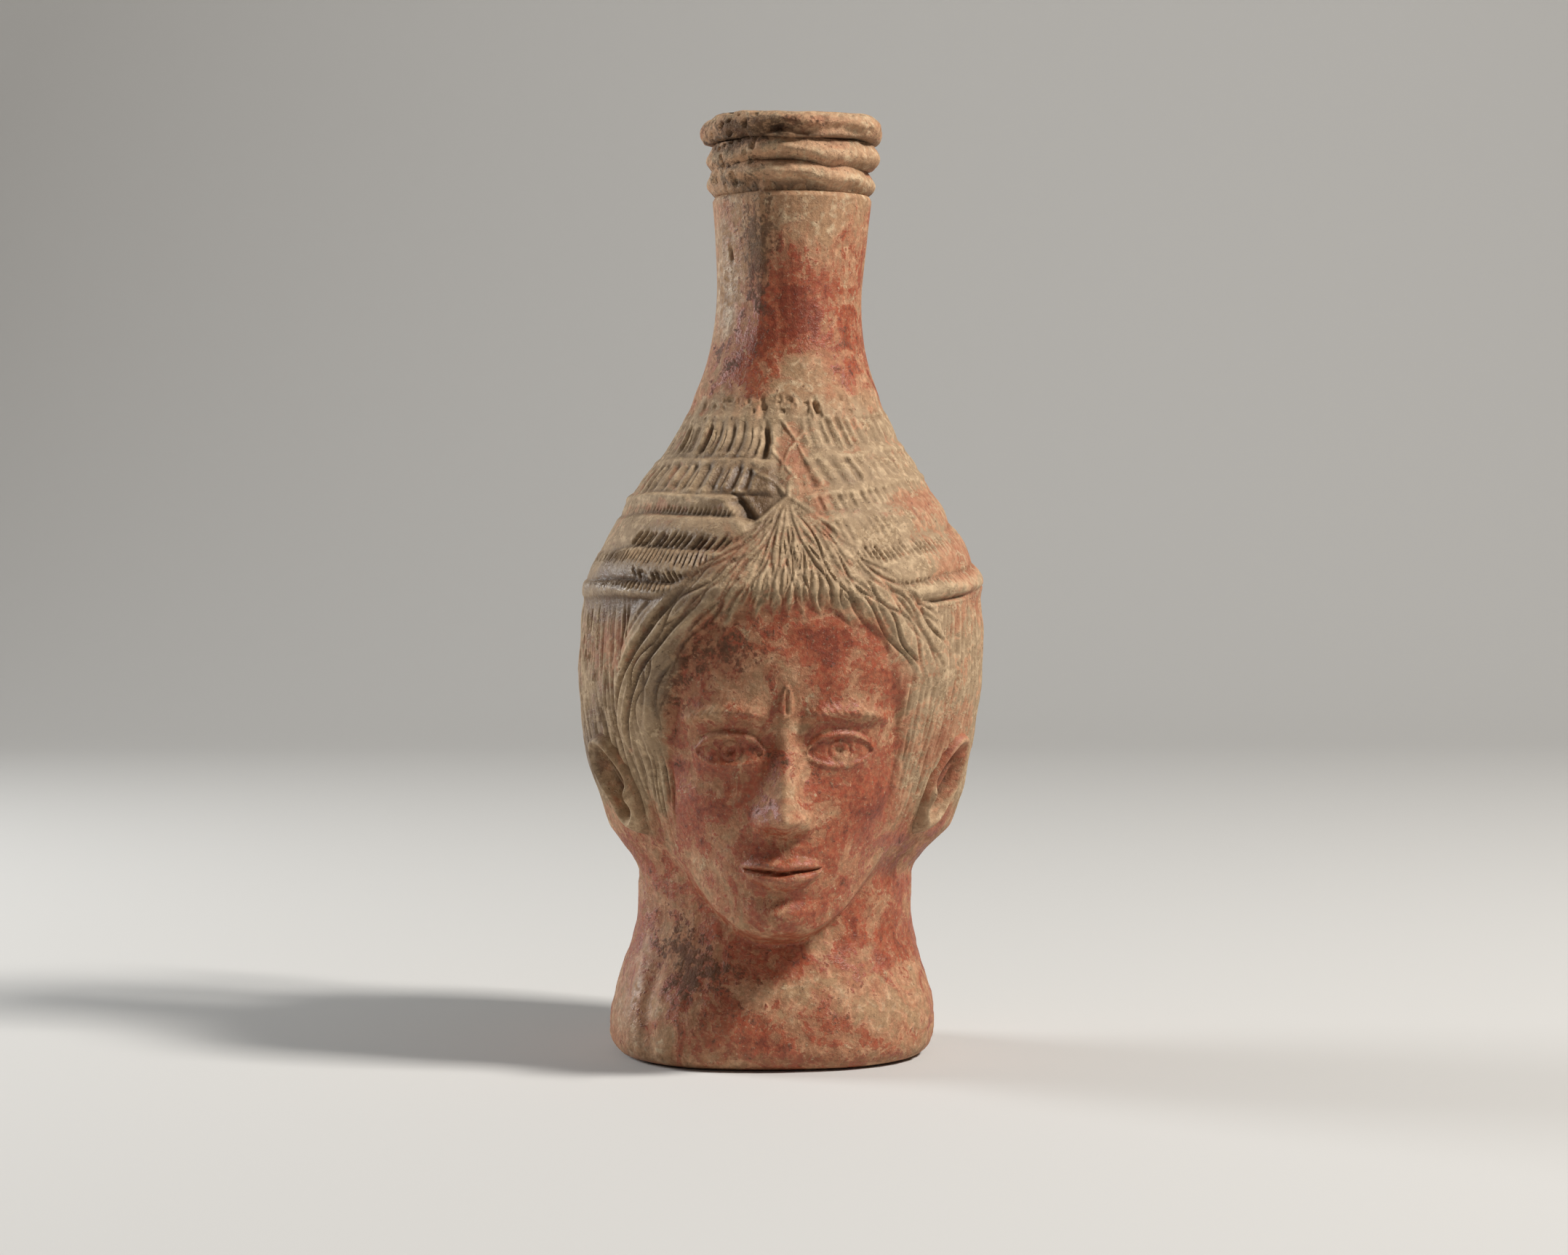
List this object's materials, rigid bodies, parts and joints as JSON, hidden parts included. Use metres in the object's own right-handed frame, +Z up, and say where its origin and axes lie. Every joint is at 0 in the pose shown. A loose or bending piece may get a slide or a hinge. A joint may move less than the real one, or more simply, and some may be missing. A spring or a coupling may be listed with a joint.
{
  "type": "head jug",
  "caption": "Hollow clay jug in the form of a moulded head with rolled hair on a flared foot, with a tall waisted neck, ringed collar, rolled lip and a strap handle behind.",
  "frame": {"origin": "middle of the foot's flat underside", "axes": "+Z up from the resting face, the face looks along -Y, +X to the viewer's right of the face, to which the jug leans a little"},
  "size_m": [0.1177, 0.132, 0.27],
  "materials": {
    "red_slip": "worn red slip, half gloss, over buff clay",
    "worn_slip": "slip worn to buff clay, with pale deposits in the carved lines",
    "collar_clay": "matt orange-buff clay with traces of slip",
    "bare_clay": "bare fired clay"
  },
  "bodies": {
    "root": {"face_half": "red_slip", "back_half": "worn_slip", "floor_disc": "bare_clay", "seam_coil_left": "bare_clay", "seam_coil_right": "bare_clay", "neck_coil": "bare_clay", "neck_tube": "red_slip", "collar_ring_lower": "collar_clay", "collar_ring_upper": "collar_clay", "mouth_lip": "collar_clay", "strap_handle": "red_slip", "ear_left": "worn_slip", "ear_right": "worn_slip"}
  },
  "joints": []
}
